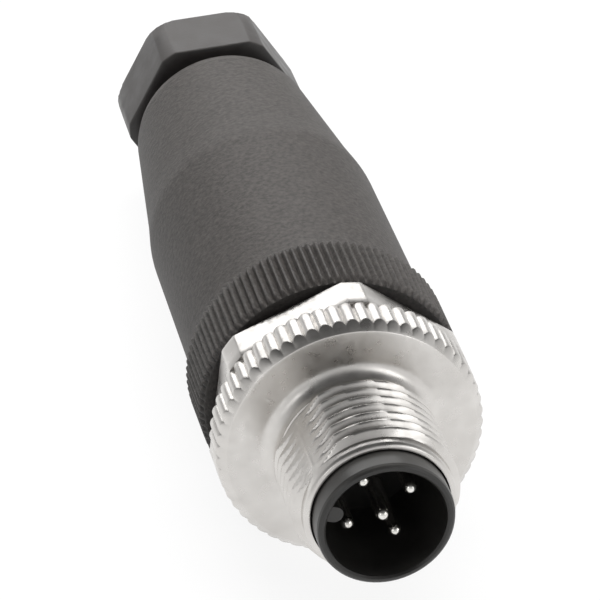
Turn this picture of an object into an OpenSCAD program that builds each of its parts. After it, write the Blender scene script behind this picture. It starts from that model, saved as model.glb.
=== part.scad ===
// Field-wireable M12 cable connector, male, 5-pole, with screw terminals
// and a cable gland.  Millimetres.
//
// The connector lies along Y.  The pins point to -Y, the cable leaves at +Y
// and +Z is up.  The origin is on the axis, in the flange face that the
// M12 thread stands on.  The modules are drawn upright, with z running
// towards the pins, and lay() turns each of them down onto Y.

/* [Display] */

/* [Threaded coupling] */
// Outside diameter of the M12 x 1 thread
thread_d = 11.9; // [11.7:0.05:12]
// Thread pitch
thread_pitch = 1; // [0.5:0.25:1.5]
// Number of full thread crests
thread_crests = 7; // [3:1:8]
// First crest, ahead of the flange face
thread_start = 7.5; // [7:0.01:9]
// Plain nose diameter ahead of the thread
nose_d = 10.8; // [10:0.1:11]
// Tip of the metal sleeve, ahead of the flange face
sleeve_len = 8.8; // [8:0.05:10]
// Neck diameter between the thread and the flange
neck_d = 11; // [10.2:0.1:11.4]
// Radius where the neck meets the flange
neck_fillet = 1.1; // [0.2:0.1:1.2]
// Distance across the two smooth flats on the thread
thread_flats = 10.8; // [10.6:0.1:11.8]
// Direction of the parting plane, which the thread flats face
parting_angle = 140; // [0:1:179]
// Flange face diameter
flange_d = 17.9; // [17:0.1:19]
// Crest diameter of the coarse knurl
coupling_crest_d = 19.3; // [19:0.1:20]
// Number of half-round ribs in the coarse knurl
coupling_ribs = 60; // [30:1:80]
// Radius of one rib of the coarse knurl
coupling_rib_r = 0.62; // [0.55:0.01:0.8]
// Knurl rear end, behind the flange face
coupling_rib_rear = 2.85; // [2:0.05:4]
// Hexagon across flats
coupling_af = 17.3; // [17:0.1:19]
// Cylinder that trims the hexagon's corners
coupling_hex_trim = 19.2; // [18.5:0.1:20]
// Rear face of the coupling, behind the flange face
coupling_rear = 5.6; // [4:0.1:6]

/* [Contact carrier] */
// Rim of the insert, ahead of the flange face
rim_front = 10.65; // [10:0.05:11.5]
// Outside diameter of the insert's tube
insert_d = 9.72; // [9.6:0.02:9.8]
// Cavity diameter
cavity_d = 8.56; // [8.4:0.02:8.7]
// Cavity floor, ahead of the flange face
cavity_floor = 2.2; // [1:0.1:4]
// Key rib diameter
key_d = 1.2; // [0.8:0.1:1.6]
// Key rib centre, off the axis
key_pos = 3.75; // [3.4:0.05:4]
// Key rib direction
key_angle = 159; // [0:1:359]
// Collar diameter
collar_d = 14.6; // [13:0.1:15]
// Diameter of the carrier inside the grip sleeve
carrier_d = 12.8; // [12:0.1:13]
// Rear face of the terminal block, behind the flange face
block_rear = 24; // [22:0.5:26]

/* [Contacts] */
// Contact pin diameter
pin_d = 1; // [0.8:0.05:1.2]
// Pitch circle diameter of the four outer pins
pin_circle = 5; // [4.5:0.1:5.5]
// Direction of the first outer pin
pin_angle = 24; // [0:1:89]
// Outer pin tips, ahead of the flange face
pin_tip = 8.58; // [7:0.02:10]
// Centre pin tip, ahead of the flange face
centre_tip = 9.66; // [7:0.02:10.5]
// Terminal barrel diameter
barrel_d = 2.1; // [1.8:0.05:2.2]
// Terminal barrel length
barrel_len = 5; // [4:0.5:6]
// Terminal screw thread diameter
screw_d = 1.56; // [1.2:0.02:1.8]
// Terminal screw head diameter
screw_head_d = 2.3; // [2:0.1:2.5]

/* [Grip sleeve] */
// Front face of the sleeve, behind the flange face
sleeve_front = 6.1; // [5:0.05:7]
// Crest diameter of the fine knurl
grip_crest_d = 19.14; // [18.8:0.02:21]
// Root diameter of the fine knurl
grip_root_d = 18.5; // [18.2:0.1:20]
// Number of teeth in the fine knurl
grip_teeth = 103; // [80:1:120]
// Length of the fine knurl
grip_ring_len = 5.3; // [4:0.1:6]
// Body diameter behind the knurl
body_front_d = 17.66; // [17:0.02:18.5]
// Body diameter at the shoulder
shoulder_d = 17.26; // [16:0.02:18]
// Shoulder where the taper starts, behind the flange face
shoulder = 29.35; // [26:0.05:34]
// Body diameter at the rear edge
body_rear_d = 13.66; // [12:0.02:15]
// Rear edge of the body, behind the flange face
body_rear = 43.45; // [40:0.05:46]
// Length of the chamfer behind the rear edge
rear_chamfer = 0.9; // [0.2:0.1:1.5]
// Bore of the terminal chamber
chamber_d = 12.9; // [12.5:0.1:13.5]
// Bore that takes the seal and the gland nut
gland_bore_d = 10.1; // [9:0.1:11]

/* [Cable gland] */
// Gland nut across flats
gland_af = 12.6; // [11:0.1:14]
// Cylinder that trims the nut's corners
gland_trim_d = 13.9; // [12.5:0.1:15]
// Front face of the nut's hexagon, behind the flange face
gland_hex_front = 46.25; // [45:0.05:48]
// Rear face of the nut, behind the flange face
gland_rear = 51.65; // [50:0.05:54]
// Cable hole diameter
cable_hole_d = 6.5; // [5:0.1:7]
// Outside diameter of the nut's shank
shank_d = 9.94; // [9:0.02:10]
// Front end of the nut's shank, behind the flange face
shank_front = 38.65; // [37:0.05:41]
// Hole in the cable seal
seal_hole_d = 6.1; // [5:0.1:6.5]

/* [Hidden] */

$fn = 64;
eps = 0.01;

nickel = [0.78, 0.77, 0.75];
brass = [0.80, 0.70, 0.45];
steel = [0.62, 0.63, 0.64];
black = [0.11, 0.10, 0.10];
dark = [0.07, 0.07, 0.07];
rubber = [0.09, 0.09, 0.09];
natural = [0.55, 0.55, 0.52];

// 60 degree thread: flats of P/8 at the crest and P/4 at the root
crest_flat = thread_pitch / 8;
root_flat = thread_pitch / 4;
thread_depth = (thread_pitch - crest_flat - root_flat) / 2 / tan(30);
thread_r = thread_d / 2;
root_r = thread_r - thread_depth;
thread_end = thread_start - thread_pitch * (thread_crests - 1);

coupling_step = 1.5;      // inner step, behind the flange face
counterbore_d = 15.2;
snap_front = 3.4;         // retaining ring, behind the flange face
snap_rear = 4;
running = 0.09;           // radial clearance of the coupling on the insert

pin_r = pin_circle / 2;
terminal_front = 12.5;    // outer terminals, behind the flange face
centre_front = 18.5;      // centre terminal, behind the flange face
wire_r = 2.9;             // wire holes behind the outer terminals
outer_screw = 15;
centre_screw = 20.7;
head_in = 4.5;            // terminal screw heads, off the axis
head_out = 5.5;

step_front = 24.9;        // inner step of the grip sleeve
step_rear = 26.5;
seal_front = 28.75;
seal_rear = 34.9;

// ---- helpers ----

// Turns a module drawn upright, z towards the pins, down onto -Y.
module lay() {
    rotate([90, 0, 0]) children();
}

module at_angle(a) {
    rotate([0, 0, a]) children();
}

// Disc from z = -a back to z = -b.
module disc_back(a, b, d) {
    translate([0, 0, -b]) cylinder(d = d, h = b - a);
}

// Hexagonal prism with flats facing 50, 110, 170 degrees and so on.
module hexagon(af, a, b, turn) {
    translate([0, 0, -b]) rotate([0, 0, turn + 30])
        linear_extrude(b - a) circle(d = af / cos(30), $fn = 6);
}

// Quarter arc as points, for revolved profiles.
function arc(cx, cz, r, a0, a1, n) =
    [for (i = [0:n]) let (a = a0 + (a1 - a0) * i / n)
        [cx + r * cos(a), cz + r * sin(a)]];

// Outline of half-round ribs side by side, as points.
function rib_points(n, crest, size, steps, phase) =
    [for (i = [0:n - 1], k = [0:steps - 1])
        let (off = (2 * k / steps - 1) * 180 / n,
             side = crest * sin(off),
             r = crest - size + sqrt(size * size - side * side),
             a = phase + 360 / n * i + off)
        [r * cos(a), r * sin(a)]];

// ---- coupling ----

function thread_points() =
    [for (i = [0:thread_crests - 1])
        let (zc = thread_start - thread_pitch * i)
        for (p = [[thread_r, zc + crest_flat / 2],
                  [thread_r, zc - crest_flat / 2],
                  [root_r, zc - thread_pitch / 2 + root_flat / 2],
                  [root_r, zc - thread_pitch / 2 - root_flat / 2]])
            if (!(i == thread_crests - 1 && p[1] < zc - thread_pitch / 4))
                p];

module coupling_body() {
    neck_r = neck_d / 2;
    rotate_extrude() polygon(concat(
        [[0, sleeve_len], [nose_d / 2 - 0.35, sleeve_len],
         [nose_d / 2 - 0.1, sleeve_len - 0.1],
         [nose_d / 2, sleeve_len - 0.35],
         [nose_d / 2, thread_start + 0.36]],
        thread_points(),
        [[neck_r, thread_end - 0.35]],
        arc(neck_r + neck_fillet, neck_fillet, neck_fillet, 180, 270, 5),
        [[flange_d / 2 - 0.4, 0], [flange_d / 2 - 0.4, -coupling_rib_rear],
         [0, -coupling_rib_rear]]));
}

// Ribs cut off at 45 degrees in front and square behind.
module coupling_knurl() {
    fr = flange_d / 2;
    cr = coupling_crest_d / 2;
    intersection() {
        translate([0, 0, -coupling_rib_rear])
            linear_extrude(coupling_rib_rear)
                polygon(rib_points(coupling_ribs, cr, coupling_rib_r, 6,
                                   parting_angle));
        rotate_extrude() polygon([
            [0, 0], [fr - 0.05, 0], [fr, -0.05],
            [cr + 0.1, -0.15 - cr + fr],
            [cr + 0.1, -coupling_rib_rear - 0.1],
            [0, -coupling_rib_rear - 0.1]]);
    }
}

module coupling_screw() {
    color(nickel) lay() difference() {
        union() {
            coupling_body();
            coupling_knurl();
            intersection() {
                hexagon(coupling_af, coupling_rib_rear, coupling_rear,
                        parting_angle - 90);
                disc_back(coupling_rib_rear, coupling_rear,
                          coupling_hex_trim);
            }
        }
        // bore for the insert, counterbore for its collar
        translate([0, 0, -coupling_step - 1])
            cylinder(d = insert_d + 2 * running, h = 20);
        disc_back(coupling_step, coupling_rear + 1, counterbore_d);
        disc_back(snap_front - 0.05, snap_rear + 0.05, 15.9);
        // smooth flats on both sides of the parting plane
        for (s = [0, 180]) at_angle(parting_angle + s)
            translate([thread_flats / 2, -5, neck_fillet])
                cube([5, 10, thread_start - neck_fillet + 0.3]);
    }
}

module slip_washer() {
    color(natural) lay() difference() {
        disc_back(coupling_step + 0.05, coupling_step + 0.4, 14.6);
        disc_back(coupling_step - 1, coupling_step + 1, insert_d + 0.4);
    }
}

module retaining_ring() {
    color(steel) lay() difference() {
        disc_back(snap_front, snap_rear, 15.8);
        disc_back(snap_front - 1, snap_rear + 1, 13.2);
        translate([0, -1.5, -snap_rear - 1]) cube([20, 3, 3]);
    }
}

// ---- insert and contacts ----

module contact_carrier() {
    ir = insert_d / 2;
    cr = carrier_d / 2;
    color(black) lay() difference() {
        union() {
            difference() {
                rotate_extrude() polygon([
                    [0, rim_front], [ir - 0.36, rim_front],
                    [ir - 0.2, rim_front - 0.04],
                    [ir - 0.06, rim_front - 0.16],
                    [ir, rim_front - 0.36],
                    [ir, -coupling_step - 0.45],
                    [collar_d / 2, -coupling_step - 0.45],
                    [collar_d / 2, -snap_front + 0.2],
                    [6.3, -snap_front + 0.2], [6.3, -sleeve_front - 0.2],
                    [cr, -sleeve_front - 0.4], [cr, -11.3],
                    [5.4, -11.3], [5.4, -12.4], [cr, -12.4],
                    [cr, -13], [6.2, -13.3], [6.2, -block_rear + 0.3],
                    [5.9, -block_rear], [0, -block_rear]]);
                translate([0, 0, cavity_floor])
                    cylinder(d = cavity_d, h = 20);
                translate([0, 0, rim_front - 0.14])
                    cylinder(d1 = cavity_d, d2 = cavity_d + 0.5, h = 0.25);
            }
            // half-round key rib on the cavity wall
            at_angle(key_angle) intersection() {
                translate([0, 0, cavity_floor - 0.5]) union() {
                    translate([key_pos, 0, 0]) cylinder(d = key_d,
                        h = rim_front - cavity_floor + 0.1, $fn = 32);
                    translate([key_pos, -key_d / 2, 0]) cube([1, key_d,
                        rim_front - cavity_floor + 0.1]);
                }
                cylinder(d = cavity_d + 0.3, h = 20);
            }
        }
        // contact bores, wire holes and screw pockets
        for (k = [0:3]) at_angle(pin_angle + 90 * k) {
            translate([pin_r, 0, -terminal_front - 1])
                cylinder(d = pin_d + 0.04, h = 20, $fn = 32);
            translate([pin_r, 0, -terminal_front - barrel_len - 0.1])
                cylinder(d = barrel_d + 0.06, h = barrel_len + 0.15,
                         $fn = 32);
            translate([wire_r, 0, -block_rear - 1])
                cylinder(d = 1.9, h = block_rear - terminal_front
                         - barrel_len + 1, $fn = 32);
            screw_pocket(outer_screw, pin_r);
        }
        translate([0, 0, -centre_front - 1])
            cylinder(d = pin_d + 0.04, h = 30, $fn = 32);
        translate([0, 0, -block_rear - 1])
            cylinder(d = barrel_d + 0.06, h = block_rear - centre_front + 1.05,
                     $fn = 32);
        at_angle(pin_angle + 45) screw_pocket(centre_screw, 0);
    }
}

// Pocket for one terminal screw, radially outwards from x = from.
module screw_pocket(back, from) {
    translate([from, 0, -back]) rotate([0, 90, 0])
        cylinder(d = screw_d + 0.14, h = head_in - from + 0.1, $fn = 32);
    translate([head_in - 0.05, 0, -back]) rotate([0, 90, 0])
        cylinder(d = screw_head_d + 0.2, h = 4, $fn = 32);
}

module contact(tip, front) {
    difference() {
        union() {
            translate([0, 0, -front]) cylinder(d = pin_d,
                h = tip + front - pin_d / 2, $fn = 32);
            translate([0, 0, tip - pin_d / 2]) sphere(d = pin_d, $fn = 32);
            translate([0, 0, -front - barrel_len])
                cylinder(d = barrel_d, h = barrel_len, $fn = 32);
        }
        translate([0, 0, -front - barrel_len - 1])
            cylinder(d = 1.4, h = barrel_len, $fn = 32);
        translate([0, 0, -front - 2.2 - (front == terminal_front ? 0.3 : 0)])
            rotate([0, 90, 0])
                cylinder(d = screw_d + 0.1, h = 4, $fn = 32);
    }
}

module outer_contact(k) {
    color(brass) lay() at_angle(pin_angle + 90 * k)
        translate([pin_r, 0, 0]) contact(pin_tip, terminal_front);
}
module contact_pin_1() outer_contact(0);
module contact_pin_2() outer_contact(1);
module contact_pin_3() outer_contact(2);
module contact_pin_4() outer_contact(3);
module contact_pin_5() {
    color(brass) lay() at_angle(pin_angle + 45)
        contact(centre_tip, centre_front);
}

// Slotted clamp screw, pointing inwards from its head at x = head_out.
module terminal_screw(back, tip) {
    difference() {
        translate([0, 0, -back]) rotate([0, 90, 0]) union() {
            translate([0, 0, tip])
                cylinder(d = screw_d, h = head_out - tip - 0.3, $fn = 32);
            translate([0, 0, head_in])
                cylinder(d = screw_head_d, h = head_out - head_in, $fn = 32);
        }
        translate([head_out - 0.45, -2, -back - 0.2]) cube([2, 4, 0.4]);
    }
}

module outer_screw_part(k) {
    color(steel) lay() at_angle(pin_angle + 90 * k)
        terminal_screw(outer_screw, 2.9);
}
module terminal_screw_1() outer_screw_part(0);
module terminal_screw_2() outer_screw_part(1);
module terminal_screw_3() outer_screw_part(2);
module terminal_screw_4() outer_screw_part(3);
module terminal_screw_5() {
    color(steel) lay() at_angle(pin_angle + 45)
        terminal_screw(centre_screw, 0.4);
}

module carrier_o_ring() {
    color(rubber) lay() translate([0, 0, -11.85])
        rotate_extrude() translate([5.92, 0]) circle(d = 1, $fn = 32);
}

// ---- grip sleeve ----

module grip_profile() {
    fr = body_front_d / 2;
    sr = shoulder_d / 2;
    br = body_rear_d / 2;
    ring_rear = sleeve_front + grip_ring_len;
    slope = (sr - 0.12 - br) / (body_rear - shoulder - 0.8);
    polygon([
        [chamber_d / 2, -sleeve_front - 0.3],
        [chamber_d / 2 + 0.3, -sleeve_front],
        [grip_root_d / 2 - 0.1, -sleeve_front],
        [grip_root_d / 2, -sleeve_front - 0.1],
        [grip_root_d / 2, -ring_rear + 0.05],
        [fr + 0.1, -ring_rear], [fr, -ring_rear - 0.15],
        [sr + 0.02, -shoulder + 0.9], [sr, -shoulder + 0.3],
        [sr - 0.05, -shoulder - 0.2], [sr - 0.13, -shoulder - 0.8],
        [sr - 0.20 - 1.6 * slope, -shoulder - 2.4],
        [sr - 0.24 - 5 * slope, -shoulder - 5.8],
        [br + 3 * slope, -body_rear + 3],
        [br, -body_rear + 0.05], [br - 0.04, -body_rear - 0.05],
        [br - 0.32, -body_rear - rear_chamfer],
        [gland_bore_d / 2 + 0.3, -body_rear - rear_chamfer],
        [gland_bore_d / 2, -body_rear - rear_chamfer + 0.3],
        [gland_bore_d / 2, -step_rear],
        [chamber_d / 2, -step_front]]);
}

module grip_knurl() {
    rr = grip_root_d / 2;
    cr = grip_crest_d / 2;
    ring_rear = sleeve_front + grip_ring_len;
    intersection() {
        translate([0, 0, -ring_rear]) linear_extrude(grip_ring_len)
            difference() {
                polygon([for (i = [0:grip_teeth - 1], p = [[-0.46, rr - 0.02],
                        [-0.14, cr], [0.14, cr], [0.46, rr - 0.02]])
                    let (a = 360 / grip_teeth * (i + p[0]))
                    [p[1] * cos(a), p[1] * sin(a)]]);
                circle(r = rr - 0.4);
            }
        rotate_extrude() polygon([
            [rr - 0.5, -sleeve_front], [rr - 0.08, -sleeve_front],
            [cr, -sleeve_front - 0.42], [cr, -ring_rear + 0.12],
            [cr - 0.12, -ring_rear], [rr - 0.5, -ring_rear]]);
    }
}

module grip_sleeve() {
    color(black) lay() union() {
        rotate_extrude() grip_profile();
        grip_knurl();
    }
}

// ---- cable gland ----

module spacer_sleeve() {
    color(natural) lay() difference() {
        union() {
            disc_back(block_rear + 0.15, block_rear + 0.8, 12.6);
            disc_back(block_rear + 0.5, seal_front - 0.15, 9.8);
        }
        disc_back(block_rear - 1, seal_front + 1, 7.6);
    }
}

module clamp_cage() {
    color(natural) lay() difference() {
        disc_back(seal_front, seal_rear + 0.1, 9.9);
        disc_back(seal_front - 1, seal_rear + 1, 8.5);
        // eight slots leave eight fingers
        for (k = [0:3]) at_angle(45 * k)
            translate([-6, -0.35, -seal_rear - 1]) cube([12, 0.7, 5]);
        // the nut's cone bears on the finger tips
        translate([0, 0, -seal_rear - 0.2]) difference() {
            cylinder(d = 12, h = 1);
            cylinder(d1 = 9, d2 = 9.9, h = 1);
        }
    }
}

module cable_seal() {
    color(rubber) lay() difference() {
        disc_back(seal_front, seal_rear, 8.3);
        disc_back(seal_front - 1, seal_rear + 1, seal_hole_d);
    }
}

module gland_slip_ring() {
    color(natural) lay() difference() {
        disc_back(shank_front - 0.65, shank_front - 0.05, 9.9);
        disc_back(shank_front - 2, shank_front + 1, cable_hole_d + 0.1);
    }
}

module gland_nut() {
    mouth = 0.75;
    color(dark) lay() difference() {
        union() {
            disc_back(shank_front, gland_hex_front + 0.5, shank_d);
            intersection() {
                hexagon(gland_af, gland_hex_front, gland_rear, 29.6);
                rotate_extrude() polygon([
                    [0, -gland_hex_front],
                    [gland_trim_d / 2 - 0.12, -gland_hex_front],
                    [gland_trim_d / 2, -gland_hex_front - 0.12],
                    [gland_trim_d / 2, -gland_rear + 0.5],
                    [gland_trim_d / 2 - 0.4, -gland_rear],
                    [0, -gland_rear]]);
            }
        }
        disc_back(shank_front - 1, gland_rear + 1, cable_hole_d);
        // cone that closes the cage, and the rounded cable mouth
        translate([0, 0, -shank_front - 1.85])
            cylinder(d1 = cable_hole_d, d2 = 8.6, h = 1.86);
        rotate_extrude() polygon(concat(
            arc(cable_hole_d / 2 + mouth, -gland_rear + mouth, mouth,
                180, 270, 5),
            [[cable_hole_d / 2 + mouth, -gland_rear - 1],
             [cable_hole_d / 2 - 0.3, -gland_rear - 1],
             [cable_hole_d / 2 - 0.3, -gland_rear + mouth]]));
    }
}

// ---- build ----
coupling_screw();
slip_washer();
retaining_ring();
contact_carrier();
carrier_o_ring();
contact_pin_1();
contact_pin_2();
contact_pin_3();
contact_pin_4();
contact_pin_5();
terminal_screw_1();
terminal_screw_2();
terminal_screw_3();
terminal_screw_4();
terminal_screw_5();
grip_sleeve();
spacer_sleeve();
clamp_cage();
cable_seal();
gland_slip_ring();
gland_nut();
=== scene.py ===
# %% [markdown]
# # A round sensor connector
# The object is a cable connector, 62 mm long. A nickel-plated coupling turns
# on a black insert that holds five pins. Behind it come a black grip sleeve
# and a hexagonal gland nut that clamps the cable.
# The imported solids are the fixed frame. They carry the joints, so every piece
# made here rides on one of their bodies.

# %% Load the frame
import math

import bpy
import numpy as np
from mathutils import Matrix, Vector


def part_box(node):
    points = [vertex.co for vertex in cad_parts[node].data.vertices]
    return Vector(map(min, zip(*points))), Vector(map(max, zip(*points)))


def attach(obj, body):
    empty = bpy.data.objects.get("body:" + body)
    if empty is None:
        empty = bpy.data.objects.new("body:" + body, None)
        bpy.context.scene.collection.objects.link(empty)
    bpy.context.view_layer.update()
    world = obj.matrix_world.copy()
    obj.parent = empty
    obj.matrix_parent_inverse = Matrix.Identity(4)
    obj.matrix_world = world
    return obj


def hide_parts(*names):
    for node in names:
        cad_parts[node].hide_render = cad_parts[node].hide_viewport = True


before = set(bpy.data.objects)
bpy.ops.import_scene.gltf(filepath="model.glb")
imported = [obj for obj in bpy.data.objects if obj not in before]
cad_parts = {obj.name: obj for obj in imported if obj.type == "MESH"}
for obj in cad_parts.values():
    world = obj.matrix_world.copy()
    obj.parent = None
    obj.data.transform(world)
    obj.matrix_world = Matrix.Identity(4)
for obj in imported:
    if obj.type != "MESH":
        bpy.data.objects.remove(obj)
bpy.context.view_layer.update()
MM = 0.001
print("nodes:", len(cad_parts))

# %% [markdown]
# ## Camera
# The connector lies along Y with its pins towards -Y. The camera stands in
# front of the pins, above them and a little to the left. A long lens from
# 0.36 m keeps the perspective gentle, yet the near end still looks larger.
# The camera could be aimed by a Track To constraint. Building its matrix from
# three angles is plainer and leaves nothing to evaluate.

# %% Camera
SENSOR, LENS = 36, 300      # both in mm
camera_data = bpy.data.cameras.new("camera")
camera_data.sensor_width = SENSOR
camera_data.lens = LENS
camera = bpy.data.objects.new("camera", camera_data)
bpy.context.scene.collection.objects.link(camera)
bpy.context.scene.camera = camera

AIM = Vector((-0.056, 16.06, 1.827)) * MM
AZIMUTH = math.radians(10.4)
ELEVATION = math.radians(32.655)
ROLL = math.radians(3.94)
DISTANCE = 361.2 * MM
forward = Vector((math.sin(AZIMUTH) * math.cos(ELEVATION),
                  math.cos(AZIMUTH) * math.cos(ELEVATION),
                  -math.sin(ELEVATION)))
level = forward.cross(Vector((0, 0, 1))).normalized()
upright = level.cross(forward)
right = math.cos(ROLL) * level - math.sin(ROLL) * upright
up = math.sin(ROLL) * level + math.cos(ROLL) * upright
turn = Matrix((right, up, -forward)).transposed().to_4x4()
camera.matrix_world = Matrix.Translation(AIM - DISTANCE * forward) @ turn
print("camera at", [round(v / MM, 1) for v in camera.matrix_world.translation])

# %% [markdown]
# ## Rings round an axis
# Every visible piece is turned, knurled or hexagonal, so its skin is a stack
# of rings round the Y axis. The Screw modifier could spin a profile, but it
# can't give each angle its own radius, which a knurl, a hexagon and a thread
# need. Rings built in code can, and the mesh stays closed.

# %% Rings and the faces between them
SHARP_EDGE = math.radians(40)    # faces that meet at more keep a hard edge


def around(count):
    """Evenly spaced angles, in radians."""
    return np.arange(count) * 2 * np.pi / count


def bridge(a, b):
    """Faces between two rings, each given as (first point, how many)."""
    if a[1] > b[1]:
        return [f[::-1] for f in bridge(b, a)]
    k = b[1] // a[1]
    faces = []
    for i in range(a[1]):
        here, there = a[0] + i, a[0] + (i + 1) % a[1]
        fine = [b[0] + (i * k + j) % b[1] for j in range(k + 1)]
        if k == 1:
            faces.append((here, there, fine[1], fine[0]))
            continue
        half = k // 2
        faces += [(here, fine[j + 1], fine[j]) for j in range(half)]
        faces.append((here, there, fine[half]))
        faces += [(there, fine[j + 1], fine[j]) for j in range(half, k)]
    return faces


class Skin:
    """A closed surface, built ring by ring round the Y axis."""

    def __init__(self):
        self.points, self.faces, self.rings = [], [], []

    def ring(self, radius, y, angles):
        """One ring. Radius and y are in mm, alone or one per angle."""
        first = sum(n for _, n in self.rings)
        radius = np.broadcast_to(radius, angles.shape)
        y = np.broadcast_to(y, angles.shape)
        self.points.append(np.column_stack(
            [radius * np.cos(angles), y, radius * np.sin(angles)]) * MM)
        self.rings.append((first, len(angles)))
        if len(self.rings) > 1:
            self.faces += bridge(self.rings[-2], self.rings[-1])

    def piece(self, name):
        """Joins the last ring to the first and makes the object."""
        self.faces += bridge(self.rings[-1], self.rings[0])
        mesh = bpy.data.meshes.new(name)
        mesh.from_pydata(np.vstack(self.points).tolist(), [], self.faces)
        mesh.shade_smooth()
        mesh.set_sharp_from_angle(angle=SHARP_EDGE)
        obj = bpy.data.objects.new(name, mesh)
        bpy.context.scene.collection.objects.link(obj)
        print(name, len(mesh.polygons), "faces")
        return obj

# %% [markdown]
# Real edges are never sharp: tooling, plating and wear round them, and the
# round is what catches the light. The Bevel modifier would round every edge
# alike. Here each corner of a profile states its own radius instead.

# %% Profiles with rounded corners
def rounded(corners, sides=4):
    """Replaces each (radius, y, rounding) corner of a profile by an arc."""
    out = []
    pts = [np.array(c[:2], float) for c in corners]
    for i, (p, c) in enumerate(zip(pts, corners)):
        size = c[2] if len(c) > 2 else 0
        if not size or i in (0, len(pts) - 1):
            out.append(tuple(p))
            continue
        a = (pts[i - 1] - p) / np.linalg.norm(pts[i - 1] - p)
        b = (pts[i + 1] - p) / np.linalg.norm(pts[i + 1] - p)
        half = math.acos(float(np.clip(a @ b, -1, 1))) / 2
        reach = size / math.tan(half)
        centre = p + (a + b) / np.linalg.norm(a + b) * size / math.sin(half)
        start, end = p + a * reach - centre, p + b * reach - centre
        swing = math.pi - 2 * half
        sign = np.sign(start[0] * end[1] - start[1] * end[0])
        for k in range(sides + 1):
            t = sign * swing * k / sides
            out.append((centre[0] + start[0] * math.cos(t)
                        - start[1] * math.sin(t),
                        centre[1] + start[0] * math.sin(t)
                        + start[1] * math.cos(t)))
    return out


def away(angles, centre):
    """Signed angle from a centre, in radians, between -pi and pi."""
    return (angles - math.radians(centre) + np.pi) % (2 * np.pi) - np.pi

# %% [markdown]
# ## The coupling
# The coupling is one zinc casting, plated with satin nickel. It has an M12x1
# thread in front, a flange with a coarse rounded knurl, and a hexagon for a
# torque wrench. The two halves of its mould met on a plane 40 degrees off
# the horizontal. Along that plane the thread has two smooth flats, so the
# halves could open without tearing it.
# A thread could be cut with a Boolean, which is slow and leaves slivers. Here
# the radius of each ring point follows from how far it is from the helix.

# %% Thread sizes
CREST, ROOT, PITCH = 5.95, 5.41, 1.0
NOSE, NECK = 5.40, 5.50
THREAD_START, THREAD_END = 7.5, 1.5
SEAM = 140.0            # the plane where the mould's halves met
FLAT = 5.40             # distance of the two thread flats from the axis
FLAT_REACH = 1.2        # half the angle that a flat can cut, in radians
HELIX_START = 75.0      # angle at which a crest meets THREAD_START
CREST_EDGE, ROOT_EDGE = 0.0625, 0.375   # where a flank starts and ends, in pitches
FLANK_SWELL = 0.06      # how much fuller than straight the flanks are


def thread_radius(z, angles):
    """Radius of the threaded sleeve, z mm ahead of the flange face."""
    turns = (z - THREAD_START) / PITCH - away(angles, HELIX_START) / 2 / np.pi
    off_crest = np.abs(turns - np.round(turns))
    height = np.clip((ROOT_EDGE - off_crest) / (ROOT_EDGE - CREST_EDGE), 0, 1)
    height = height * (1 + FLANK_SWELL * np.sin(np.pi * height))
    ridge = ROOT + (CREST - ROOT) * np.clip(height, 0, 1)
    front = np.interp(z, [THREAD_START + 0.06, THREAD_START + 0.38],
                      [CREST, NOSE])
    rear = np.interp(z, [THREAD_END - 0.32, THREAD_END - 0.06],
                     [NECK, CREST])
    radius = np.minimum(ridge, min(front, rear))
    for side in (SEAM, SEAM + 180):
        off = away(angles, side)
        flat = np.where(np.abs(off) < FLAT_REACH, FLAT / np.cos(off), CREST)
        radius = np.minimum(radius, flat)
    return radius


print("thread depth", round(CREST - ROOT, 2), "mm")

# %% [markdown]
# The knurl is sixty half-round ribs side by side, so sharp grooves lie
# between them. A cone of 45 degrees cuts their front ends and leaves a lobe on
# each. Behind the ribs stands a hexagon whose corners are trimmed to a
# cylinder.

# %% Knurl and hexagon
RIBS, RIB_SIZE, RIB_TOP = 60, 0.62, 9.65
FLANGE, RIB_REAR = 8.95, 2.85
HEX_FLAT, HEX_TRIM, COUPLING_REAR = 8.65, 9.6, 5.6
TRIM_ROUND = 0.05       # rounding between a flat and its trimmed corner


def smooth_max(a, b, blend):
    """The larger of two values, with a small round between them."""
    h = np.clip(0.5 + 0.5 * (a - b) / blend, 0, 1)
    return b + (a - b) * h + blend * h * (1 - h)


def hexagon(angles, flat, trim, turn):
    """Radius of a hexagon whose corners are trimmed to a cylinder."""
    off = (angles - math.radians(turn) + np.pi / 6) % (np.pi / 3) - np.pi / 6
    return -smooth_max(-flat / np.cos(off), -trim, TRIM_ROUND)


def rib_radius(angles):
    """Radius over half-round ribs that stand side by side."""
    step = 2 * np.pi / RIBS
    off = (angles - math.radians(SEAM) + step / 2) % step - step / 2
    side = RIB_TOP * np.sin(off)
    return RIB_TOP - RIB_SIZE + np.sqrt(RIB_SIZE ** 2 - side ** 2)


def seam_bead(angles, radius, width=0.07):
    """Height, from 0 to 1, of the thin flash line left at the seam."""
    return np.exp(-(away(angles, SEAM + 1) * radius / width) ** 2)

# %% [markdown]
# The casting is then one closed skin: round the nose, over the thread and the
# neck, out across the flange, back over the ribs and the hexagon, and home
# through the bore. The rings on the flange have twice as many points as those
# on the thread, because the ribs need them.

# %% Coupling
BORE, TIP = 4.95, 8.8
NECK_FILLET = 1.1
THREAD_ROW = 0.0625     # distance between two rings of the thread
FLASH = 0.03            # height of the flash line
FLASH_FRONT, FLASH_OUT = 7.1, 7.5   # it ends short of the nose and of the ribs
RIB_BEVEL = 0.05        # the ribs' rounded edges, as deep as this

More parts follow.
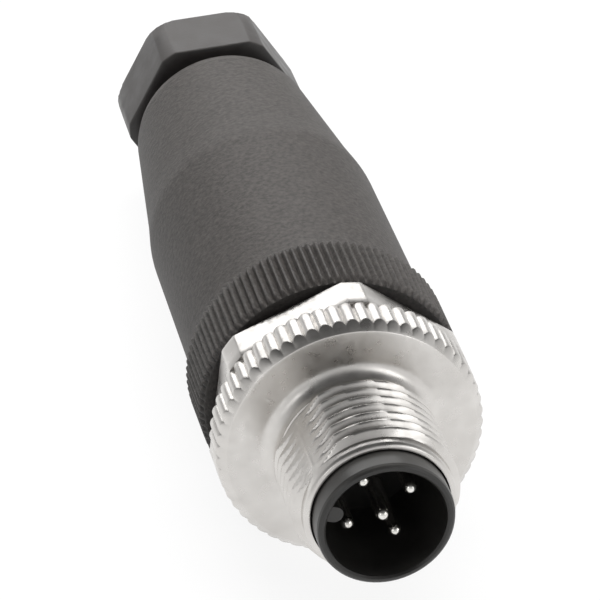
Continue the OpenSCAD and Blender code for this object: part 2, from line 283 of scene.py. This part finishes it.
few, many = around(360), around(720)
coupling = Skin()
for r, y in rounded([(BORE, -8.2), (BORE, -TIP, 0.03), (NOSE, -TIP, 0.35),
                     (NOSE, -8.0)], 5):
    coupling.ring(r, y, few)
for z in np.arange(THREAD_START + 0.45, THREAD_END - 0.31, -THREAD_ROW):
    r = thread_radius(z, few)
    coupling.ring(r + FLASH * seam_bead(few, r) * (z < FLASH_FRONT), -z, few)
for r, y in rounded([(NECK, -1.15), (NECK, 0, NECK_FILLET), (6.75, 0)], 12):
    coupling.ring(r, y, few)
for r in (6.9, 7.2, 7.6, 8.0, 8.4, 8.7):
    bead = FLASH * seam_bead(many, r) * (r < FLASH_OUT)
    coupling.ring(r, -bead, many)
for r, y in rounded([(8.7, 0), (FLANGE, 0, 0.12), (9.15, 0.2)], 4)[1:-1]:
    coupling.ring(r, y, many)
ribs = rib_radius(many)
# The flash line stands RIB_BEVEL proud, so the ribs lie that much lower. On
# the 45 degree cone, y grows as the radius does.
ribs = ribs - RIB_BEVEL * (1 - seam_bead(many, ribs, 0.06))
for shrink, y in ((RIB_BEVEL, -RIB_BEVEL), (0.01, 0.02), (0, 0.06)):
    coupling.ring(ribs - shrink, ribs - FLANGE + y, many)
for shrink, y in ((0, 0.85), (0, 1.5), (0, 2.2), (0, 2.79), (0.015, 2.83),
                  (RIB_BEVEL, RIB_REAR)):
    coupling.ring(ribs - shrink, y, many)
hexed = hexagon(many, HEX_FLAT, HEX_TRIM, SEAM - 90)
coupling.ring(np.minimum(hexed, ribs - RIB_BEVEL), RIB_REAR, many)
for shrink, y in ((0.02, RIB_REAR + 0.01), (0, 2.9), (0, 3.6), (0, 4.4),
                  (0, 5.2), (0, 5.5), (0.02, 5.56), (0.07, COUPLING_REAR)):
    coupling.ring(hexed - shrink, y, many)
for r, y in ((8.3, COUPLING_REAR), (7.7, COUPLING_REAR), (7.6, 5.5),
             (7.6, 4.05), (7.95, 4.05), (7.95, 3.35), (7.6, 3.35),
             (7.6, 1.5), (BORE, 1.5), (BORE, -4.0)):
    coupling.ring(r, y, few)
coupling = coupling.piece("coupling_casting")
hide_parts("coupling_screw")
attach(coupling, "coupling")

# %% [markdown]
# ## The grip sleeve
# The grip is one moulding in glass-filled nylon. A finely knurled ring at its
# front gives the fingers a hold. The long body narrows slightly as far as a
# soft shoulder, and behind that it tapers straight towards the cable. It is a
# profile of revolution, apart from the teeth, so the knurled ring has ten
# points for each tooth and the body only two.

# %% Grip sleeve sizes
TEETH, TOOTH_TOP, TOOTH_ROOT = 103, 9.57, 9.25
GRIP_FRONT, GRIP_REAR = 6.1, 11.4   # the knurled ring's two ends
RING_GAP = 2.5                      # longest distance between two rings


def tooth_radius(angles, top):
    """Radius of the fine knurl, with teeth as high as top."""
    step = 2 * np.pi / TEETH
    off = np.abs((angles + step / 2) % step - step / 2) / (step / 2)
    height = np.interp(off, [0, 0.22, 0.36, 0.80, 0.94, 1],
                       [1, 0.99, 0.86, 0.14, 0.01, 0])
    return TOOTH_ROOT + (top - TOOTH_ROOT) * height

# %% Grip sleeve
teeth, plain = around(TEETH * 10), around(TEETH * 2)
sleeve = Skin()
for r, y in ((6.45, 6.4), (6.75, GRIP_FRONT), (8.8, GRIP_FRONT)):
    sleeve.ring(r, y, plain)
sleeve.ring(9.1, GRIP_FRONT, teeth)
for low, y in ((0.31, 0.005), (0.22, 0.07), (0.11, 0.19), (0.03, 0.31),
               (0, 0.45), (0, 1.5), (0, 3.5), (0, 5.1), (0.03, 5.23),
               (0.10, 5.3)):
    sleeve.ring(tooth_radius(teeth, TOOTH_TOP - low) - 0.1 * low,
                GRIP_FRONT + y, teeth)
body = rounded([(9.1, GRIP_REAR), (8.83, GRIP_REAR, 0.12), (8.65, 29.15, 11),
                (8.17, 32.3, 20), (6.83, 43.45, 0.12), (6.55, 44.35, 0.10),
                (5.75, 44.35, 0.05), (5.60, 44.1, 0.05), (5.05, 44.1, 0.1),
                (5.05, 26.5), (6.45, 24.9), (6.45, 6.6)], 6)
last = body[0]
for r, y in body:
    steps = int(abs(y - last[1]) // RING_GAP) + 1
    for k in range(1, steps):
        t = k / steps
        sleeve.ring(last[0] + (r - last[0]) * t,
                    last[1] + (y - last[1]) * t, plain)
    sleeve.ring(r, y, plain)
    last = (r, y)
sleeve = sleeve.piece("grip_moulding")
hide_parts("grip_sleeve")
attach(sleeve, "housing")

# %% [markdown]
# ## The gland nut
# The nut is a smooth hexagon with its corners trimmed, on a plain shank that
# screws into the sleeve. The cable hole has a rounded mouth so that it won't
# cut the sheath. Its angles aren't even: each flat has a few wide steps, and
# the narrow trimmed corners get short ones, so the edges stay crisp.

# %% Gland nut
NUT_FLAT, NUT_TRIM, NUT_TURN = 6.3, 6.94, 29.6
NUT_FRONT, NUT_REAR = 46.25, 51.65
NUT_DRAFT = 0.02        # the flats close in by this much for each mm
CABLE_HOLE, SHANK = 3.25, 4.97
edge = math.degrees(math.acos(NUT_FLAT / NUT_TRIM))
sector = np.concatenate([np.linspace(-edge + 0.8, edge - 0.8, 11),
                         [edge - 0.3, edge + 0.3, edge + 1.2, 30,
                          60 - edge - 1.2, 60 - edge - 0.3,
                          60 - edge + 0.3]])
nut_angles = np.radians(np.concatenate(
    [NUT_TURN + 60 * k + sector for k in range(6)]))


def nut_ring(shrink, y):
    """One ring of the hexagon, a little smaller towards the back."""
    flat = NUT_FLAT - NUT_DRAFT * (y - NUT_FRONT)
    trim = np.interp(y, [NUT_REAR - 0.5, NUT_REAR], [NUT_TRIM, 6.54])
    nut.ring(hexagon(nut_angles, flat, trim, NUT_TURN) - shrink, y,
             nut_angles)


nut = Skin()
shank = rounded([(CABLE_HOLE, 40.6), (4.25, 38.65, 0.1), (SHANK, 38.65, 0.15),
                 (SHANK, NUT_FRONT, 0.12), (5.3, NUT_FRONT)], 3)
for r, y in shank:
    nut.ring(r, y, nut_angles)
for r, y in ((5.5, NUT_FRONT), (5.80, NUT_FRONT)):
    nut.ring(r, y, nut_angles)
for shrink, y in ((0.10, 0.005), (0.04, 0.04), (0.01, 0.10), (0, 0.2),
                  (0, 1.8), (0, 3.4), (0, 4.88), (0, 5.15), (0.01, 5.28),
                  (0.04, 5.36), (0.10, 5.395)):
    nut_ring(shrink, NUT_FRONT + y)
for r, y in rounded([(5.80, NUT_REAR), (CABLE_HOLE, NUT_REAR, 0.75),
                     (CABLE_HOLE, 42.0)], 8):
    nut.ring(r, y, nut_angles)
nut = nut.piece("pressing_nut")
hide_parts("gland_nut")
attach(nut, "nut")

# %% [markdown]
# ## Plated metal
# Satin nickel over a zinc casting is a metal with a soft gloss: reflections
# blur, and a fine orange peel breaks them up. The peel is a small bump, the
# colour drifts a little between warm and cold, and roughness changes from
# place to place where the plating took differently. A picture could hold all
# this, but noise needs no unwrapping and has no edge.

# %% Material helpers
NOISE_LOW, NOISE_HIGH = 0.3, 0.7    # nearly all of the noise lies between them


def new_material(name, color, metallic, roughness):
    """A Principled material. Returns it and its shader."""
    material = bpy.data.materials.new(name)
    material.use_nodes = True
    shader = material.node_tree.nodes["Principled BSDF"]
    shader.inputs["Base Color"].default_value = (*color, 1)
    shader.inputs["Metallic"].default_value = metallic
    shader.inputs["Roughness"].default_value = roughness
    material.diffuse_color = (*color, 1)
    return material, shader


def grain(material, size_mm, detail=3.0, rough=0.55):
    """Noise whose grains are about size_mm across."""
    tree = material.node_tree
    place = tree.nodes.new("ShaderNodeTexCoord")
    noise = tree.nodes.new("ShaderNodeTexNoise")
    noise.inputs["Scale"].default_value = 0.5 / (size_mm * MM)
    noise.inputs["Detail"].default_value = detail
    noise.inputs["Roughness"].default_value = rough
    tree.links.new(place.outputs["Object"], noise.inputs["Vector"])
    return noise.outputs["Fac"]


def spread(material, value, low, high):
    """Maps noise onto a range."""
    tree = material.node_tree
    node = tree.nodes.new("ShaderNodeMapRange")
    node.inputs["From Min"].default_value = NOISE_LOW
    node.inputs["From Max"].default_value = NOISE_HIGH
    node.inputs["To Min"].default_value = low
    node.inputs["To Max"].default_value = high
    tree.links.new(value, node.inputs["Value"])
    return node.outputs["Result"]


def tint(material, shader, value, stops):
    """Colours the surface by a ramp over a noise value."""
    tree = material.node_tree
    ramp = tree.nodes.new("ShaderNodeValToRGB")
    elements = ramp.color_ramp.elements
    while len(elements) < len(stops):
        elements.new(0.5)
    for element, (at, color) in zip(elements, stops):
        element.position = at
        element.color = (*color, 1)
    tree.links.new(value, ramp.inputs["Fac"])
    tree.links.new(ramp.outputs["Color"], shader.inputs["Base Color"])


def bump(material, shader, height, depth_mm):
    """Lets a noise value stand proud of the surface by depth_mm."""
    tree = material.node_tree
    node = tree.nodes.new("ShaderNodeBump")
    node.inputs["Distance"].default_value = depth_mm * MM
    tree.links.new(height, node.inputs["Height"])
    tree.links.new(node.outputs["Normal"], shader.inputs["Normal"])

# %% Satin nickel
nickel, shader = new_material("satin_nickel", (0.66, 0.64, 0.615), 1.0, 0.3)
peel = grain(nickel, 0.16)
tint(nickel, shader, grain(nickel, 1.4, 2),
     [(NOISE_LOW, (0.61, 0.59, 0.565)), (NOISE_HIGH, (0.71, 0.69, 0.665))])
nickel.node_tree.links.new(spread(nickel, grain(nickel, 0.5), 0.24, 0.40),
                           shader.inputs["Roughness"])
bump(nickel, shader, peel, 0.006)
coupling.data.materials.append(nickel)
print("nickel ready")

# %% [markdown]
# ## Black plastics
# The three black mouldings differ in finish. The sleeve's mould was etched to
# a matte grain, so it scatters light and looks charcoal. The nut is smooth
# and satin. The insert is a stiff, half-gloss plastic.

# %% Grained sleeve plastic
grained, shader = new_material("grained_nylon", (0.042, 0.038, 0.0355), 0, 0.6)
fleck = grain(grained, 0.16, 4, 0.6)
tint(grained, shader, fleck, [(0.32, (0.026, 0.0235, 0.022)),
                              (0.68, (0.062, 0.056, 0.052))])
bump(grained, shader, fleck, 0.05)
sleeve.data.materials.append(grained)

# %% Smooth nut plastic
smooth, shader = new_material("satin_nylon", (0.04, 0.037, 0.035), 0, 0.42)
haze = grain(smooth, 0.7, 3)
tint(smooth, shader, haze, [(NOISE_LOW, (0.034, 0.031, 0.030)),
                            (NOISE_HIGH, (0.047, 0.043, 0.041))])
smooth.node_tree.links.new(spread(smooth, haze, 0.36, 0.50),
                           shader.inputs["Roughness"])
bump(smooth, shader, grain(smooth, 0.12), 0.006)
nut.data.materials.append(smooth)

# %% Insert plastic
insert, shader = new_material("insert_plastic", (0.032, 0.031, 0.029), 0, 0.36)
cloud = grain(insert, 0.9, 3)
tint(insert, shader, cloud, [(NOISE_LOW, (0.027, 0.026, 0.0245)),
                             (NOISE_HIGH, (0.038, 0.0365, 0.034))])
insert.node_tree.links.new(spread(insert, cloud, 0.30, 0.42),
                           shader.inputs["Roughness"])
bump(insert, shader, grain(insert, 0.10), 0.003)

# %% [markdown]
# ## The pieces that keep their solids
# The insert, its contacts, the clamp screws and the parts inside the grip
# have the right shape as they are. They only need their finishes, which go
# into their material slots.

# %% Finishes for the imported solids
def cover(material, *names):
    """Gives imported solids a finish."""
    for name in names:
        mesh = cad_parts[name].data
        mesh.materials.clear()
        mesh.materials.append(material)
    print(material.name, "on", len(names), "solids")


pin_metal, shader = new_material("pin_silver", (0.80, 0.79, 0.75), 1.0, 0.2)
tint(pin_metal, shader, grain(pin_metal, 0.8),
     [(NOISE_LOW, (0.74, 0.72, 0.67)), (NOISE_HIGH, (0.86, 0.85, 0.82))])
bump(pin_metal, shader, grain(pin_metal, 0.08), 0.001)
steel, shader = new_material("bright_steel", (0.5, 0.5, 0.5), 1.0, 0.35)
tint(steel, shader, grain(steel, 0.6),
     [(NOISE_LOW, (0.44, 0.44, 0.45)), (NOISE_HIGH, (0.58, 0.58, 0.57))])
bump(steel, shader, grain(steel, 0.1), 0.003)
milky, shader = new_material("natural_nylon", (0.55, 0.53, 0.47), 0, 0.5)
tint(milky, shader, grain(milky, 1.2),
     [(NOISE_LOW, (0.50, 0.48, 0.42)), (NOISE_HIGH, (0.60, 0.58, 0.52))])
bump(milky, shader, grain(milky, 0.2), 0.008)
rubber, shader = new_material("seal_rubber", (0.035, 0.035, 0.036), 0, 0.7)
tint(rubber, shader, grain(rubber, 0.5),
     [(NOISE_LOW, (0.028, 0.028, 0.029)), (NOISE_HIGH, (0.045, 0.045, 0.046))])
bump(rubber, shader, grain(rubber, 0.12), 0.01)
cover(insert, "contact_carrier")
cover(pin_metal, *(f"contact_pin_{k}" for k in range(1, 6)))
cover(steel, "retaining_ring", *(f"terminal_screw_{k}" for k in range(1, 6)))
cover(milky, "slip_washer", "spacer_sleeve", "clamp_cage", "gland_slip_ring")
cover(rubber, "carrier_o_ring", "cable_seal")

# %% [markdown]
# ## Floor and light
# The connector lies on its knurled ring and on the shoulder of the sleeve,
# and the floor is tilted by three degrees so that it meets both. The floor
# shows itself to the camera, and to glossy surfaces, as almost white. It
# keeps a part of its lit colour, and with that the shadow.

# %% Floor
REST_TILT = math.radians(3.0)
FLOOR_SIZE = 4                      # in metres
FLOOR_GREY, FLOOR_GLOW = 0.45, 1.12
GLOW_SHARE = 0.8                    # the rest of what the camera sees is lit
ring_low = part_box("grip_sleeve")[0].z
bpy.ops.mesh.primitive_plane_add(size=FLOOR_SIZE,
                                 location=(0, GRIP_REAR * MM, ring_low))
floor = bpy.context.object
floor.name = "floor"
floor.rotation_euler.x = REST_TILT

paper = bpy.data.materials.new("floor_paper")
paper.use_nodes = True
tree = paper.node_tree
tree.nodes.clear()
lit = tree.nodes.new("ShaderNodeBsdfDiffuse")
lit.inputs["Color"].default_value = (FLOOR_GREY, FLOOR_GREY, FLOOR_GREY, 1)
glow = tree.nodes.new("ShaderNodeEmission")
glow.inputs["Strength"].default_value = FLOOR_GLOW
path = tree.nodes.new("ShaderNodeLightPath")
seen = tree.nodes.new("ShaderNodeMath")
seen.operation = "MAXIMUM"
tree.links.new(path.outputs["Is Camera Ray"], seen.inputs[0])
tree.links.new(path.outputs["Is Glossy Ray"], seen.inputs[1])
share = tree.nodes.new("ShaderNodeMath")
share.operation = "MULTIPLY"
share.inputs[1].default_value = GLOW_SHARE
tree.links.new(seen.outputs[0], share.inputs[0])
mix = tree.nodes.new("ShaderNodeMixShader")
tree.links.new(share.outputs[0], mix.inputs["Fac"])
tree.links.new(lit.outputs[0], mix.inputs[1])
tree.links.new(glow.outputs[0], mix.inputs[2])
out = tree.nodes.new("ShaderNodeOutputMaterial")
tree.links.new(mix.outputs[0], out.inputs["Surface"])
floor.data.materials.append(paper)
print("floor tilt", round(math.degrees(REST_TILT), 1), "degrees")

# %% [markdown]
# Metal shows what stands round it. The room is bright near the horizon and
# darker overhead, so that upward faces of the casting get contrast instead of
# turning flat white. Four soft lamps do the rest: a wide one behind, two
# small ones low in front on either side, and one high up. Metal doesn't
# mirror the high one, so it lights the matte pieces alone.

# %% Room
ROOM_MATTE, ROOM_MIRRORED = 0.35, 1.0   # strength on matte and glossy surfaces
HORIZON_GREY = 0.7
ZENITH_HEIGHT, ZENITH_GREY = 0.72, 0.10
BETWEEN = ((0.25, 0.65), (0.48, 0.38))  # (height, grey) of the steps between
world = bpy.data.worlds.new("room")
bpy.context.scene.world = world
world.use_nodes = True
tree = world.node_tree
room = tree.nodes["Background"]
where = tree.nodes.new("ShaderNodeTexCoord")
split = tree.nodes.new("ShaderNodeSeparateXYZ")
tree.links.new(where.outputs["Generated"], split.inputs[0])
shade = tree.nodes.new("ShaderNodeValToRGB")
stops = shade.color_ramp.elements
stops[0].position = 0.0
stops[0].color = (HORIZON_GREY, HORIZON_GREY, HORIZON_GREY, 1)
stops[1].position = ZENITH_HEIGHT
stops[1].color = (ZENITH_GREY, ZENITH_GREY, ZENITH_GREY, 1)
for at, grey in BETWEEN:
    stops.new(at).color = (grey, grey, grey, 1)
tree.links.new(split.outputs["Z"], shade.inputs["Fac"])
tree.links.new(shade.outputs["Color"], room.inputs["Color"])
ray = tree.nodes.new("ShaderNodeLightPath")
strength = tree.nodes.new("ShaderNodeMapRange")
strength.inputs["To Min"].default_value = ROOM_MATTE
strength.inputs["To Max"].default_value = ROOM_MIRRORED
tree.links.new(ray.outputs["Is Glossy Ray"], strength.inputs["Value"])
tree.links.new(strength.outputs["Result"], room.inputs["Strength"])

LAMP_DISTANCE = 0.6                     # in metres, from LAMP_AIM
LAMP_AIM = Vector((0, 0.02, 0))


def lamp(name, azimuth, elevation, size, radiance, shine=True):
    """A soft lamp of size (width, height), aimed at the connector.

    Azimuth and elevation are in degrees, and azimuth 0 is straight in front.
    """
    data = bpy.data.lights.new(name, "AREA")
    data.shape = "RECTANGLE"
    data.size, data.size_y = size
    data.energy = radiance * math.pi * size[0] * size[1]
    obj = bpy.data.objects.new(name, data)
    a, e = math.radians(azimuth), math.radians(elevation)
    direction = Vector((math.sin(a) * math.cos(e),
                        -math.cos(a) * math.cos(e), math.sin(e)))
    obj.location = LAMP_AIM + direction * LAMP_DISTANCE
    obj.rotation_euler = direction.to_track_quat("Z", "Y").to_euler()
    obj.visible_glossy = shine
    bpy.context.scene.collection.objects.link(obj)


lamp("back", 178, 33, (0.55, 0.26), 2.2)
lamp("front_left", -42, 20, (0.2, 0.2), 1.2)
lamp("front_right", 40, 18, (0.3, 0.25), 1.7)
lamp("overhead", 160, 66, (0.7, 0.7), 5.5, shine=False)
bpy.context.scene.view_settings.view_transform = "Standard"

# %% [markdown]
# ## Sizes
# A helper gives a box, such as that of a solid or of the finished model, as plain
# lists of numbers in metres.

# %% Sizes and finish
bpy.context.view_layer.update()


def corners(box):
    """A box as plain lists of numbers, in metres."""
    return [[round(float(v), 6) for v in corner] for corner in box]
